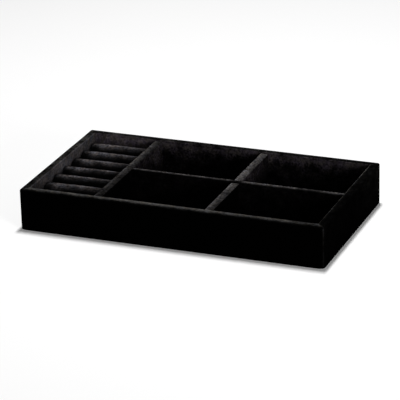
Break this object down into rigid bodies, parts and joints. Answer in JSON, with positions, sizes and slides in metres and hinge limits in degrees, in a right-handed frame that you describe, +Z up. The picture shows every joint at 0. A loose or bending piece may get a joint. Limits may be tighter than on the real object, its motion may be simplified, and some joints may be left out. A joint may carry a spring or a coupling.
{
  "type": "jewelry tray",
  "caption": "Shallow rectangular velvet-covered tray with a bay of padded ring rolls and open compartments between low dividers.",
  "frame": {"origin": "centre of the footprint, on the surface that the tray stands on", "axes": "+X along the length, away from the ring bay; +Y to the back; +Z up"},
  "size_m": [0.375, 0.21, 0.051],
  "materials": {
    "velvet": "matte",
    "felt": "matte",
    "board": "matte",
    "card": "matte",
    "foam": "matte",
    "steel": "satin"
  },
  "bodies": {
    "root": {"back_wall": "board", "base_felt": "felt", "bottom_panel": "board", "corner_brads": "steel", "cross_divider_board": "board", "cross_divider_velvet": "velvet", "floor_card_back_left": "card", "floor_card_back_right": "card", "floor_card_front_left": "card", "floor_card_front_right": "card", "floor_velvet_back_left": "velvet", "floor_velvet_back_right": "velvet", "floor_velvet_front_left": "velvet", "floor_velvet_front_right": "velvet", "front_wall": "board", "left_wall": "board", "long_divider_board": "board", "long_divider_velvet": "velvet", "panel_brads": "steel", "right_wall": "board", "ring_bed_card": "card", "ring_divider_board": "board", "ring_divider_velvet": "velvet", "ring_foam_1": "foam", "ring_foam_2": "foam", "ring_foam_3": "foam", "ring_foam_4": "foam", "ring_foam_5": "foam", "ring_foam_6": "foam", "ring_foam_7": "foam", "ring_velvet_1": "velvet", "ring_velvet_2": "velvet", "ring_velvet_3": "velvet", "ring_velvet_4": "velvet", "ring_velvet_5": "velvet", "ring_velvet_6": "velvet", "ring_velvet_7": "velvet", "velvet_wrap": "velvet"}
  },
  "joints": []
}
